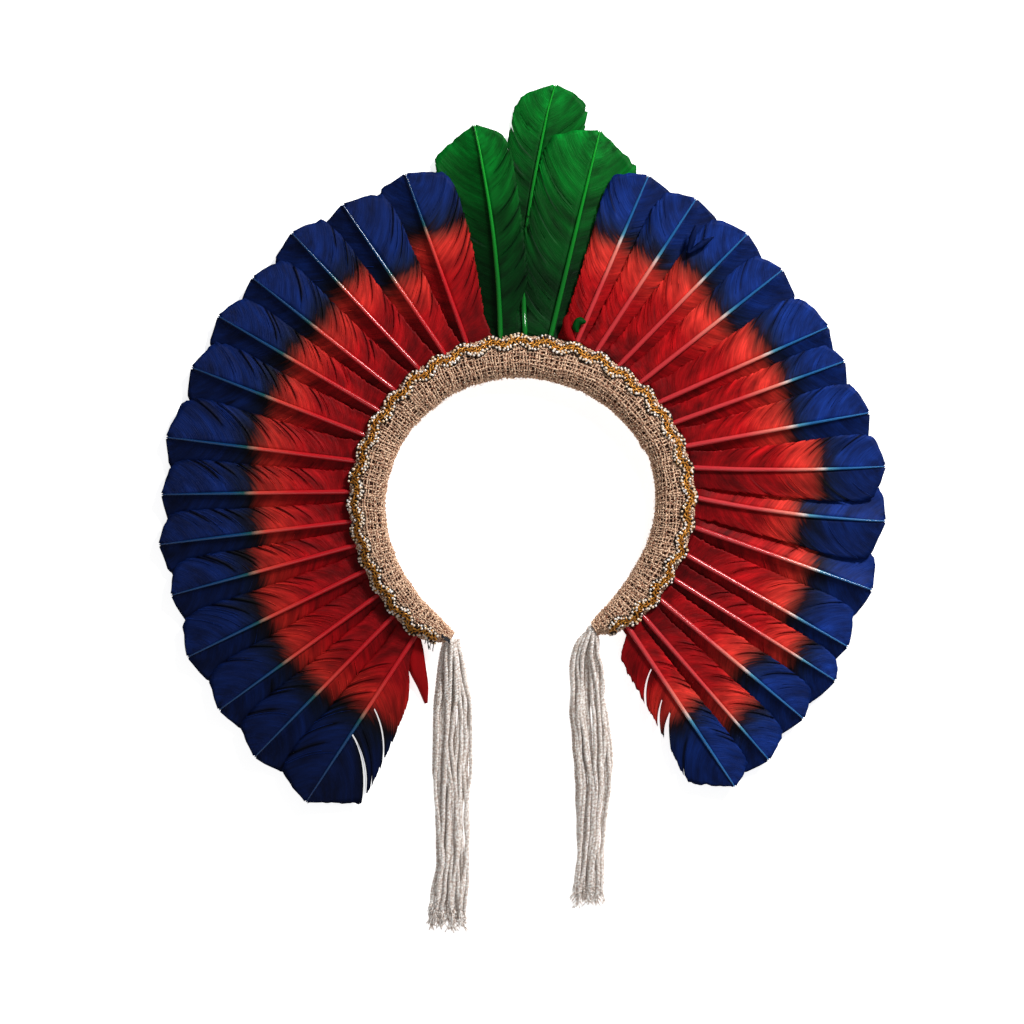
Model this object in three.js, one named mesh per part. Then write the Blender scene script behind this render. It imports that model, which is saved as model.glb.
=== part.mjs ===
// A horseshoe feather headdress lying flat: a padded burlap band with a beaded
// braid on its outer shoulder, a fan of 32 shingled feathers whose quills sit in
// a slot round the band, and a cotton cord tassel at each end of the band.
// Millimetres, +Z up, +Y towards the crest, origin under the middle of the bounds.
import * as THREE from 'three';

// ---- driving dimensions -------------------------------------------------------

// The band round the ring centre, from its left end over the crest to its right
// end: angle in degrees, inner radius, outer radius.
const BAND_CHART = [
  [241, 94, 100], [236, 91.5, 106], [231, 89.5, 110], [214, 88.8, 111], [196, 90, 113],
  [175, 91.2, 116.5], [140, 91.2, 117], [90, 90.2, 117], [60, 89.8, 117], [42, 90, 117],
  [20, 91.6, 117], [3, 89, 116.5],
  [-11, 86.6, 113.5], [-25, 83.8, 110], [-41, 83.6, 108], [-50, 85, 104.5],
  [-55, 86.8, 101], [-58.5, 88.3, 97],
];
const BAND_STEPS = 70;
const BAND_HEIGHT = 18.4;
const BAND_END_HEIGHT = 13;      // the flattened ends
const END_TAPER = 12;            // degrees over which an end flattens

// The band's section: t across from the inner edge to the outer edge, height as
// a share of the band's height. The notch on the outer side takes the quills.
const SLOT_LOW = 0.39;
const SLOT_HIGH = 0.59;
const SLOT_BACK = 0.72;
const BAND_SECTION = [
  [0.0, 0.38], [0.06, 0.13], [0.2, 0], [0.8, 0], [0.95, 0.14], [1, SLOT_LOW],
  [SLOT_BACK, SLOT_LOW], [SLOT_BACK, SLOT_HIGH], [1, SLOT_HIGH], [0.985, 0.66],
  [0.54, 1], [0.3, 0.97], [0.13, 0.84], [0.03, 0.62],
];

// The beaded braid: a wavy ribbon on the slope of the band's outer shoulder.
const BRAID_WAVES = 30;
const BRAID_STEPS_PER_WAVE = 6;
const BRAID_WIDTH = 8.6;
const BRAID_SWING = 2.1;
const BRAID_THICKNESS = 2.6;
const BRAID_LIFT = 0.5;          // gap over the burlap
const BRAID_OUTSET = 1.5;        // how far the braid stands past the band's edge
const BRAID_START = 236.5;       // degrees
const BRAID_END = -54;

// Feathers: root angle, tip angle and tip reach round the ring centre, and the
// sideways bow of the shaft, positive to the right seen from the ring centre.
const LEFT_FEATHERS = [
  [108.3, 109.1, 238, 0], [116.0, 120.4, 237, 0], [125.8, 129.7, 241, 0],
  [136.5, 139.2, 238, 0], [145.0, 147.4, 241, 0], [154.3, 156.6, 240.5, 0],
  [163.2, 168.4, 242.6, 0], [173.6, 177.5, 241, 0], [183.6, 185.4, 243.5, 0],
  [191.7, 193.6, 241, 0], [200.8, 203.7, 244, 0], [210.2, 213.4, 242.5, 0],
  [219.1, 222.7, 243, 0], [229.3, 233.5, 242.5, 0],
];
const GREEN_FEATHERS = [
  [97.4, 97.1, 259.5, 4], [88.8, 85.5, 286, -8], [80.9, 78.4, 259, 0],
];
const RIGHT_FEATHERS = [
  [72.3, 69.3, 239, 0], [65.3, 60.8, 238.4, 0], [56.6, 50.8, 238.3, 0],
  [47.5, 42.7, 237, 0], [38.8, 30.9, 238.7, 0], [30.4, 24.8, 237.4, 0],
  [21.9, 15.7, 241, 0], [14.9, 6.9, 244.6, 2], [4.9, -1.7, 243, 3],
  [-4.9, -12.8, 240, 0], [-14.3, -22.7, 236, 0], [-23.9, -28.5, 238.4, 0],
  [-32.5, -36.5, 234, 0], [-40.8, -45.3, 234.6, 0], [-47.4, -52.4, 233, 0],
];

const QUILL_RADIUS = 1.35;
const QUILL_INSET = 5;           // how far a quill reaches into the slot
const VANE_START = 3.6;          // from the band's edge to the first barbs
const VANE_THICKNESS = 0.8;
const SHAFT_ROOT_WIDTH = 3.8;
const SHAFT_TIP_WIDTH = 1.2;
const RIDGE_START = 9.2;         // height of the shaft where it leaves the band
const RIDGE_RISE = 2.2;          // how far the shaft arches up on its way out
const GENTLE_SLOPE = 0.1;        // fall of the half that lies over a neighbour
const STEEP_DROP = 6.2;          // fall of the half that tucks under a neighbour
const STEEP_RUN = 9;
const OVER_SHARE = 0.66;         // share of the spacing that the upper half covers
const UNDER_SHARE = 0.9;         // share of the spacing that the lower half fills
const OVER_LIMIT = 29;
const UNDER_LIMIT = 24;
const GREEN_UNDER_LIMIT = 31.5;
const TIP_LENGTH = 20;           // the rounded end of a feather
const OVER_TIP_POWER = 3.8;      // how soon each kind of half rounds into its rim
const UNDER_TIP_POWER = 8;
const FREE_TIP_POWER = 3.2;
const WEDGE_TIP_POWER = 1.5;     // the outer halves of the crest end in a corner
const CHISEL_TIP_POWER = 1.15;   // the last half on each side is cut off slantwise
const TIP_STOPS = [20, 9, 3.5, 1, 0];
const ROOT_SHARE = 0.6;          // share of the width that the first barbs have
const BLUNT_TIP = 0.7;           // half width that is left at the very tip
const ROOT_STOPS = [0, 12, 38, 66];
const LAST_STOP_GAP = 8;         // the least room between root stops and the tip
const RIDGE_SHARE = 0.8;         // share of a half wave that the shaft arches through
const SINK_RUN = 0.14;           // share of the shaft over which a low feather dips

// Half vanes without a neighbour: width, slope, and the run over which they widen.
const GREEN_LEFT_FREE = [21, 0.04, 28];
const GREEN_MIDDLE_FREE = [[23, 0.1, 40], [27, 0.1, 40]];
const GREEN_RIGHT_FREE = [34, 0.085, 28];
const GREEN_SINK = [0, 5.9, 1.2];

// The last half vane on each side: distance from the band's edge, width.
const LAST_LEFT_WIDTHS = [[0, 3], [19, 7], [38, 19.6], [49, 24], [80, 28], [108, 31.5]];
const LAST_RIGHT_WIDTHS = [[0, 4], [15, 16], [35, 18.6], [70, 21], [115, 25]];
const LAST_SLOPE = 0.16;

// Tassels: a row holds the centre of a section, its half width and its height.
const LEFT_TASSEL = [
  [-47.6, -88.6, 7.2, 11.5, 2.2], [-47, -100, 9.6, 12, 0.6], [-46.3, -132, 12.7, 10, 0],
  [-46.6, -176, 13.2, 9, 0], [-46.3, -234, 11.4, 8.5, 0], [-49, -262, 13.4, 7.5, 0],
  [-51, -277.5, 15.8, 6, 0],
];
const RIGHT_TASSEL = [
  [48, -82.3, 7, 11.5, 2.2], [43.6, -92, 10, 12, 0.6], [43.2, -104, 12, 11, 0],
  [43.4, -127, 12.6, 10, 0], [47.2, -162, 13.6, 9.5, 0], [48.5, -184, 12.2, 9, 0],
  [47, -206, 11, 8.5, 0], [45.6, -234, 10.6, 8, 0], [43.6, -262.5, 11.9, 6, 0],
];
const TASSEL_SIDES = 10;

// ---- materials ----------------------------------------------------------------

const finish = (color, roughness, metalness = 0) =>
  new THREE.MeshStandardMaterial({ color, roughness, metalness });
const BURLAP = finish(0xc49a7a, 0.95);
const BEADS = finish(0xd9c79a, 0.3, 0.8);
const RED_FEATHER = finish(0xa8141b, 0.6);
const GREEN_FEATHER = finish(0x00641f, 0.6);
const COTTON = finish(0xe5dcd3, 0.95);

// ---- shape helpers ------------------------------------------------------------

const rad = THREE.MathUtils.degToRad;
const lerp = THREE.MathUtils.lerp;

/** A point on the plan at an angle and a radius round the ring centre. */
const polar = (degrees, radius) =>
  new THREE.Vector2(radius * Math.cos(rad(degrees)), radius * Math.sin(rad(degrees)));

/** The value at a place in a chart of [place, value] rows. */
function along(chart, place) {
  const next = Math.max(1, chart.findIndex(([p]) => p >= place));
  const [[p0, v0], [p1, v1]] = place < chart.at(-1)[0] ? chart.slice(next - 1, next + 1) : chart.slice(-2);
  return lerp(v0, v1, THREE.MathUtils.clamp((place - p0) / (p1 - p0), 0, 1));
}

/** Inner and outer radius of the band at an angle. */
function bandAt(angle) {
  const next = Math.max(1, BAND_CHART.findIndex(([a]) => a <= angle));
  const [a0, inner0, outer0] = BAND_CHART[next - 1];
  const [a1, inner1, outer1] = BAND_CHART[next];
  const share = THREE.MathUtils.clamp((angle - a0) / (a1 - a0), 0, 1);
  return { inner: lerp(inner0, inner1, share), outer: lerp(outer0, outer1, share) };
}

/** The band's height, which falls towards the two ends. */
function bandHeightAt(angle) {
  const fromEnd = Math.min(BAND_CHART[0][0] - angle, angle - BAND_CHART.at(-1)[0]);
  const share = THREE.MathUtils.smoothstep(fromEnd, 0, END_TAPER);
  return lerp(BAND_END_HEIGHT, BAND_HEIGHT, share);
}

/** A closed solid through sections with the same number of points each. */
function loft(sections) {
  const count = sections[0].length;
  const positions = sections.flat().flatMap((p) => [p.x, p.y, p.z]);
  const index = [];
  for (let s = 0; s + 1 < sections.length; s += 1) {
    for (let k = 0; k < count; k += 1) {
      const a = s * count + k;
      const b = s * count + ((k + 1) % count);
      index.push(a, b, a + count, b, b + count, a + count);
    }
  }
  const last = (sections.length - 1) * count;
  for (const [a, b, c] of capTriangles(sections[0])) index.push(c, b, a);
  for (const [a, b, c] of capTriangles(sections.at(-1))) index.push(last + a, last + b, last + c);
  const geometry = new THREE.BufferGeometry();
  geometry.setAttribute('position', new THREE.Float32BufferAttribute(positions, 3));
  geometry.setIndex(signedVolume(positions, index) < 0 ? index.reverse() : index);
  geometry.computeVertexNormals();
  return geometry;
}

/** Triangles that close one section, in the order of its points. */
function capTriangles(section) {
  const across = section[0].clone().sub(section[Math.floor(section.length / 2)]);
  across.z = 0;
  across.normalize();
  const flat = section.map((p) => new THREE.Vector2(p.x * across.x + p.y * across.y, p.z));
  const faces = THREE.ShapeUtils.triangulateShape(flat, []);
  const clockwise = THREE.ShapeUtils.area(flat) < 0;
  return clockwise ? faces.map(([a, b, c]) => orient(a, b, c)) : faces;
}

/** A triangle's corners in rising cyclic order, as the walls run. */
function orient(a, b, c) {
  const first = Math.min(a, b, c);
  const rest = [a, b, c].filter((v) => v !== first).sort((p, q) => p - q);
  return [first, ...rest];
}

function signedVolume(positions, index) {
  const corner = (i) => new THREE.Vector3().fromArray(positions, 3 * i);
  let sum = 0;
  for (let i = 0; i < index.length; i += 3) {
    const [a, b, c] = [corner(index[i]), corner(index[i + 1]), corner(index[i + 2])];
    sum += a.dot(b.cross(c));
  }
  return sum;
}

function named(name, geometry, material) {
  const mesh = new THREE.Mesh(geometry, material);
  mesh.name = name;
  return mesh;
}

// ---- band and braid -----------------------------------------------------------

function makeBand() {
  const sections = [];
  for (let i = 0; i <= BAND_STEPS; i += 1) {
    const angle = lerp(BAND_CHART[0][0], BAND_CHART.at(-1)[0], i / BAND_STEPS);
    const { inner, outer } = bandAt(angle);
    const height = bandHeightAt(angle);
    sections.push(BAND_SECTION.map(([t, h]) => {
      const p = polar(angle, lerp(inner, outer, t));
      return new THREE.Vector3(p.x, p.y, h * height);
    }));
  }
  return named('band', loft(sections), BURLAP);
}

/** Height of the band's outer shoulder at a radius, run on past its edge. */
function shoulderAt(angle, radius) {
  const { inner, outer } = bandAt(angle);
  const [[t1, h1], [t0, h0]] = [BAND_SECTION[9], BAND_SECTION[10]];
  const t = (radius - inner) / (outer - inner);
  return bandHeightAt(angle) * (h0 + ((h1 - h0) * (t - t0)) / (t1 - t0));
}

function makeBraid() {
  const steps = BRAID_WAVES * BRAID_STEPS_PER_WAVE;
  const sections = [];
  for (let i = 0; i <= steps; i += 1) {
    const angle = lerp(BRAID_START, BRAID_END, i / steps);
    const { inner, outer } = bandAt(angle);
    const room = THREE.MathUtils.smoothstep(outer - inner, 5, 20);
    const swing = BRAID_SWING * room * Math.cos((2 * Math.PI * i) / BRAID_STEPS_PER_WAVE);
    const edge = outer + BRAID_OUTSET * room - BRAID_SWING * room + swing;
    const width = Math.min(BRAID_WIDTH, 0.6 * (outer - inner));
    const rim = [edge - width, edge];
    const corner = (radius, lift) => {
      const p = polar(angle, radius);
      return new THREE.Vector3(p.x, p.y, shoulderAt(angle, radius) + BRAID_LIFT + lift);
    };
    sections.push([
      corner(rim[0], 0), corner(rim[1], 0),
      corner(rim[1] - 0.6, BRAID_THICKNESS), corner(rim[0] + 0.6, BRAID_THICKNESS),
    ]);
  }
  return named('bead_trim', loft(sections), BEADS);
}

// ---- feathers -----------------------------------------------------------------

/** A feather's shaft on the plan, from its quill in the slot to its tip. */
class Shaft {
  constructor([rootAngle, tipAngle, reach, bow]) {
    this.edge = bandAt(rootAngle).outer;
    this.root = polar(rootAngle, this.edge - QUILL_INSET);
    this.tip = polar(tipAngle, reach);
    this.length = this.root.distanceTo(this.tip);
    this.along = this.tip.clone().sub(this.root).normalize();
    this.bow = bow;
  }

  /** Sideways place of the shaft at a distance out from its quill's end. */
  offset(y) {
    const s = y / this.length;
    return this.bow * 4 * s * (1 - s);
  }

  /** Distance from the shaft's point at y to another shaft's line. */
  spacing(y, other) {
    const right = new THREE.Vector2(this.along.y, -this.along.x);
    const p = this.root.clone().addScaledVector(this.along, y).addScaledVector(right, this.offset(y));
    const gap = p.sub(other.root);
    const otherY = gap.dot(other.along);
    const otherRight = gap.x * other.along.y - gap.y * other.along.x;
    return Math.abs(otherRight - other.offset(otherY));
  }
}

// A half vane: its width at y along the shaft, and its fall at u from the shaft.
// "bends" are the shares of the width where its section has a point.
const overHalf = (shaft, neighbour) => ({
  bends: [1],
  tipPower: OVER_TIP_POWER,
  width: (y) => Math.min(OVER_LIMIT, OVER_SHARE * shaft.spacing(y, neighbour)),
  fall: (u) => GENTLE_SLOPE * u,
});
const underHalf = (shaft, neighbour, limit = UNDER_LIMIT, tipPower = UNDER_TIP_POWER) => ({
  bends: [0.45, 1],
  tipPower,
  width: (y) => Math.min(limit, UNDER_SHARE * shaft.spacing(y, neighbour)),
  fall: (u) => STEEP_DROP * (1 - Math.exp(-u / STEEP_RUN)),
});
const freeHalf = ([width, slope, widening]) => ({
  bends: [1],
  tipPower: FREE_TIP_POWER,
  width: (y) => width * THREE.MathUtils.smoothstep(y, QUILL_INSET, QUILL_INSET + widening),
  fall: (u) => slope * u,
});

const lastHalf = (widths) => ({
  bends: [1],
  tipPower: CHISEL_TIP_POWER,
  width: (y) => along(widths, y - QUILL_INSET),
  fall: (u) => LAST_SLOPE * u,
});

/** How much of a half's width is left at y, for the rounded root and tip. */
function outlineShare(shaft, half, y, vaneStart) {
  const fromTip = shaft.length - y;
  const tip = 1 - (1 - Math.min(1, fromTip / TIP_LENGTH)) ** half.tipPower;
  const root = lerp(ROOT_SHARE, 1, THREE.MathUtils.smoothstep(y - vaneStart, -1, ROOT_STOPS[1]));
  return tip * root;
}

/** Height of the shaft at y: it arches a little between the band and the tip. */
function ridgeHeight(shaft, y, sink) {
  const s = THREE.MathUtils.clamp((y - QUILL_INSET) / (shaft.length - QUILL_INSET), 0, 1);
  const dip = sink * THREE.MathUtils.smoothstep(s, 0, SINK_RUN);
  return RIDGE_START + RIDGE_RISE * Math.sin(Math.PI * RIDGE_SHARE * s) - dip;
}

function quillSection(y, z, count, firstBend) {
  const points = [];
  for (let k = 0; k < count; k += 1) {
    const turn = Math.PI / 2 - (2 * Math.PI * (k - firstBend)) / count;
    const x = QUILL_RADIUS * Math.cos(turn);
    points.push(new THREE.Vector3(x, y, z + QUILL_RADIUS * Math.sin(turn)));
  }
  return points;
}

function vaneSection(shaft, halves, y, vaneStart, sink) {
  const x0 = shaft.offset(y);
  const z = ridgeHeight(shaft, y, sink);
  const shaftHalf = lerp(SHAFT_ROOT_WIDTH, SHAFT_TIP_WIDTH, y / shaft.length) / 2;
  const at = (side, u, lift) =>
    new THREE.Vector3(x0 + side * u, y, z - halves[side < 0 ? 0 : 1].fall(u) + lift);
  const rim = (side, lift) => {
    const half = halves[side < 0 ? 0 : 1];
    const share = outlineShare(shaft, half, y, vaneStart);
    const width = Math.max(BLUNT_TIP + shaftHalf, half.width(y) * share);
    return half.bends.map((bend) => at(side, lerp(shaftHalf, width, bend), lift));
  };
  const t = VANE_THICKNESS / 2;
  return [
    ...rim(-1, t).reverse(), at(-1, shaftHalf, t), at(1, 0, t + 0.4 * shaftHalf),
    at(1, shaftHalf, t), ...rim(1, t), ...rim(1, -t).reverse(), at(1, 0, -t - 0.3 * shaftHalf),
    ...rim(-1, -t),
  ];
}

/** One feather: a round quill in the slot, then a shaft with its two half vanes. */
function makeFeather(name, shaft, halves, material, sink = 0) {
  const vaneStart = QUILL_INSET + VANE_START;
  const bodyEnd = shaft.length - TIP_STOPS[0];
  const stops = [
    ...ROOT_STOPS.map((stop) => vaneStart + stop).filter((y) => y < bodyEnd - LAST_STOP_GAP),
    ...TIP_STOPS.map((stop) => shaft.length - stop),
  ];
  const vane = stops.map((y) => vaneSection(shaft, halves, y, vaneStart, sink));
  const count = vane[0].length;
  const firstBend = halves[0].bends.length + 1;
  const quill = [0, QUILL_INSET].map(
    (y) => quillSection(y, ridgeHeight(shaft, y, 0), count, firstBend));
  const mesh = named(name, loft([...quill, ...vane]), material);
  mesh.position.set(shaft.root.x, shaft.root.y, 0);
  mesh.rotation.z = Math.atan2(shaft.along.y, shaft.along.x) - Math.PI / 2;
  return mesh;
}

const numbered = (side, i) => `feather_${side}_${String(i + 1).padStart(2, '0')}`;

function makeFeathers() {
  const left = LEFT_FEATHERS.map((row) => new Shaft(row));
  const green = GREEN_FEATHERS.map((row) => new Shaft(row));
  const right = RIGHT_FEATHERS.map((row) => new Shaft(row));
  const group = new THREE.Group();

  // Left: every feather lies over the one above it, so its right half is on top.
  left.forEach((shaft, i) => {
    const above = i > 0 ? left[i - 1] : green[0];
    const under = i + 1 < left.length ? underHalf(shaft, left[i + 1]) : lastHalf(LAST_LEFT_WIDTHS);
    const halves = [under, overHalf(shaft, above)];
    group.add(makeFeather(numbered('left', i), shaft, halves, RED_FEATHER));
  });

  // Green: the outer two lie over the tall middle one and under the red ones.
  const crest = [
    [underHalf(green[0], left[0], GREEN_UNDER_LIMIT, WEDGE_TIP_POWER), freeHalf(GREEN_LEFT_FREE)],
    GREEN_MIDDLE_FREE.map(freeHalf),
    [freeHalf(GREEN_RIGHT_FREE), underHalf(green[2], right[0], GREEN_UNDER_LIMIT, WEDGE_TIP_POWER)],
  ];
  green.forEach((shaft, i) => {
    const name = numbered('green', i);
    group.add(makeFeather(name, shaft, crest[i], GREEN_FEATHER, GREEN_SINK[i]));
  });

  // Right: mirrored, but the eighth lies over the ninth and the ninth over the tenth.
  const overNext = [7, 8];
  right.forEach((shaft, i) => {
    const above = i > 0 ? right[i - 1] : green[2];
    const below = right[i + 1];
    const upper = overNext.includes(i - 1) ? underHalf(shaft, above) : overHalf(shaft, above);
    let lower = lastHalf(LAST_RIGHT_WIDTHS);
    if (below) lower = overNext.includes(i) ? overHalf(shaft, below) : underHalf(shaft, below);
    group.add(makeFeather(numbered('right', i), shaft, [upper, lower], RED_FEATHER));
  });
  return group;
}

// ---- tassels ------------------------------------------------------------------

/** The outer form of a tassel: rounded sections along its hang, flat underneath. */
function makeTassel(name, rows) {
  const centres = rows.map(([x, y]) => new THREE.Vector2(x, y));
  const sections = rows.map(([x, y, half, height, floor], i) => {
    const before = centres[Math.max(0, i - 1)];
    const after = centres[Math.min(rows.length - 1, i + 1)];
    const along = after.clone().sub(before).normalize();
    const points = [];
    for (let k = 0; k < TASSEL_SIDES; k += 1) {
      const turn = (2 * Math.PI * (k + 0.5)) / TASSEL_SIDES;
      const across = half * Math.cos(turn);
      const z = floor + Math.max(0, height * (0.5 + 0.55 * Math.sin(turn)));
      points.push(new THREE.Vector3(x - across * along.y, y + across * along.x, z));
    }
    return points;
  });
  return named(name, loft(sections), COTTON);
}

// ---- assembly -----------------------------------------------------------------

const assembly = new THREE.Group();
assembly.add(makeBand(), makeBraid(), makeFeathers());
assembly.add(makeTassel('tassel_left', LEFT_TASSEL), makeTassel('tassel_right', RIGHT_TASSEL));

const bounds = new THREE.Box3().setFromObject(assembly, true);
const middle = bounds.getCenter(new THREE.Vector3());
assembly.position.set(-middle.x, -middle.y, -bounds.min.z);

const headdress = new THREE.Group();
headdress.add(assembly);
export default headdress;
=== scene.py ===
import math
import random
from bisect import bisect_right
from typing import NamedTuple

import bmesh
import bpy
from mathutils import Euler, Matrix, Vector, noise
from mathutils.bvhtree import BVHTree


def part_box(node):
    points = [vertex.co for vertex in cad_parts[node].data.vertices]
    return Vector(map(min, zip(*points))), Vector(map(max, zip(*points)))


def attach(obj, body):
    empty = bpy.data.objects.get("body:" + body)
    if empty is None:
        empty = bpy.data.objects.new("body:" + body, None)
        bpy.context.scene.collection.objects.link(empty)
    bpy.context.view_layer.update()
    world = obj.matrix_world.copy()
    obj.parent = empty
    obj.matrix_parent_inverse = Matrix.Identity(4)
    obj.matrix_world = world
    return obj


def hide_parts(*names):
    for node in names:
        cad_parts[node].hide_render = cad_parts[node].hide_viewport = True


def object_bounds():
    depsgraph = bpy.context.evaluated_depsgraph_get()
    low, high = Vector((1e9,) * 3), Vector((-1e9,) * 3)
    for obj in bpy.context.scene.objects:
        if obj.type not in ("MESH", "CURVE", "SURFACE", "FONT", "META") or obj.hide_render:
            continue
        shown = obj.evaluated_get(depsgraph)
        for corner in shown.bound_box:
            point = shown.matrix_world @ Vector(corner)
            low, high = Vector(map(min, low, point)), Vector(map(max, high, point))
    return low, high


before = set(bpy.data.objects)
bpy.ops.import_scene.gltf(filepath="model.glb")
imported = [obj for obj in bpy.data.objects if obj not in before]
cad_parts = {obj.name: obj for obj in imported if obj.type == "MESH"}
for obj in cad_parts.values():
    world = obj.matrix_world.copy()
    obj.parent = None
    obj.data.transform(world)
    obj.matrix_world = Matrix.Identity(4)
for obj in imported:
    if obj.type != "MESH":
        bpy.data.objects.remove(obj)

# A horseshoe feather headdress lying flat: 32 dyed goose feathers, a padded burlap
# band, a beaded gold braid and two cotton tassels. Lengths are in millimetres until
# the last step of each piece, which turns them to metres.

CAD_BOX = [list(corner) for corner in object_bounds()]
MM = 0.001
SEED_STEP = 7.3  # how far apart the seeds of a ripple lie


# ---- small helpers ----

def millimetres(point):
    return Vector(point) / MM


def blend(low, high, share):
    return low + (high - low) * share


def ease(value, low, high):
    """0 below low, 1 above high, and smooth between."""
    share = min(max((value - low) / (high - low), 0.0), 1.0)
    return share * share * (3.0 - 2.0 * share)


def smooth_track(places, values):
    """A smooth curve through measured values that never overshoots them."""
    steps = [b - a for a, b in zip(places, places[1:])]
    rises = [(b - a) / step for a, b, step in zip(values, values[1:], steps)]
    inner = [0.0 if p * q <= 0 else 2 * p * q / (p + q) for p, q in zip(rises, rises[1:])]
    slopes = [rises[0]] + inner + [rises[-1]]

    def value(place):
        place = min(max(place, places[0]), places[-1])
        i = min(bisect_right(places, place) - 1, len(steps) - 1)
        t = (place - places[i]) / steps[i]
        bend = t * (1 - t) * steps[i]
        flat = blend(values[i], values[i + 1], t * t * (3 - 2 * t))
        return flat + bend * ((1 - t) * slopes[i] - t * slopes[i + 1])
    return value


def ripple(seed, *places):
    """Smooth noise between -1 and 1, at one to three places, that differs for each seed."""
    spots = list(places) + [0.0, 0.0]
    return noise.noise(Vector((spots[0], spots[1], SEED_STEP * seed + spots[2])))


def bearing(direction):
    """The angle of a direction in degrees, from -90 to 270, with 0 to the right."""
    return (math.degrees(math.atan2(direction.y, direction.x)) + 90) % 360 - 90


def placed(name, data):
    """A new object in the scene."""
    made = bpy.data.objects.new(name, data)
    bpy.context.scene.collection.objects.link(made)
    return made


def finished(name, mesh, material):
    """A mesh in millimetres becomes a piece that rides on the root body."""
    mesh.transform(Matrix.Scale(MM, 4))
    mesh.polygons.foreach_set("use_smooth", [True] * len(mesh.polygons))
    mesh.materials.append(material)
    piece = placed(name, mesh)
    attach(piece, "root")
    return piece


def from_bmesh(name, bm, material):
    mesh = bpy.data.meshes.new(name)
    bm.to_mesh(mesh)
    bm.free()
    return finished(name, mesh, material)


def face_up(bm, faces):
    """Turns a sheet's faces over if most of it looks down."""
    bm.normal_update()
    if sum(face.normal.z * face.calc_area() for face in faces) < 0:
        bmesh.ops.reverse_faces(bm, faces=list(faces))


def thicken(piece, depth):
    """Gives a sheet its thickness below the modelled surface."""
    wall = piece.modifiers.new("thickness", "SOLIDIFY")
    wall.thickness = depth * MM
    wall.offset = -1.0


def grid_piece(bm, columns, rows, place):
    """A grid whose vertices go where place(across, along) says, both from 0 to 1."""
    grid = bmesh.ops.create_grid(bm, x_segments=columns, y_segments=rows, size=1.0)
    for vert in grid["verts"]:
        vert.co = place((vert.co.x + 1) / 2, (vert.co.y + 1) / 2)


def strand_mesh(name, strands, roundness=0):
    """One mesh of round strands. A strand is a list of (point, radius)."""
    curve = bpy.data.curves.new(name, "CURVE")
    curve.dimensions = "3D"
    curve.bevel_depth = 1.0
    curve.bevel_resolution = roundness
    curve.use_fill_caps = True
    for strand in strands:
        spline = curve.splines.new("POLY")
        spline.points.add(len(strand) - 1)
        spline.points.foreach_set("co", [c for p, _ in strand for c in (*p, 1.0)])
        spline.points.foreach_set("radius", [radius for _, radius in strand])
    holder = bpy.data.objects.new(name, curve)
    mesh = bpy.data.meshes.new_from_object(holder)
    mesh.name = name
    bpy.data.objects.remove(holder)
    bpy.data.curves.remove(curve)
    return mesh


# ---- materials ----

def srgb(code):
    """An sRGB hex colour as linear RGBA."""
    parts = [int(code[i:i + 2], 16) / 255 for i in (1, 3, 5)]
    linear = [p / 12.92 if p <= 0.04045 else ((p + 0.055) / 1.055) ** 2.4 for p in parts]
    return (*linear, 1.0)


def add(tree, kind, inputs=None, **settings):
    """A node with its settings, and each input either linked or set."""
    made = tree.nodes.new(kind)
    for key, value in settings.items():
        setattr(made, key, value)
    for key, value in (inputs or {}).items():
        if isinstance(value, bpy.types.NodeSocket):
            tree.links.new(value, made.inputs[key])
        else:
            made.inputs[key].default_value = value
    return made


def set_ramp(ramp, stops):
    """Colour stops of a ramp: a list of (place, hex colour)."""
    while len(ramp.elements) < len(stops):
        ramp.elements.new(0.5)
    for element, (place, code) in zip(ramp.elements, stops):
        element.position = place
        element.color = srgb(code)


def new_material(name):
    material = bpy.data.materials.new(name)
    material.use_nodes = True
    tree = material.node_tree
    tree.nodes.clear()
    return material, tree


def close_material(tree, shader):
    out = add(tree, "ShaderNodeOutputMaterial")
    tree.links.new(shader.outputs[0], out.inputs["Surface"])


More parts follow.
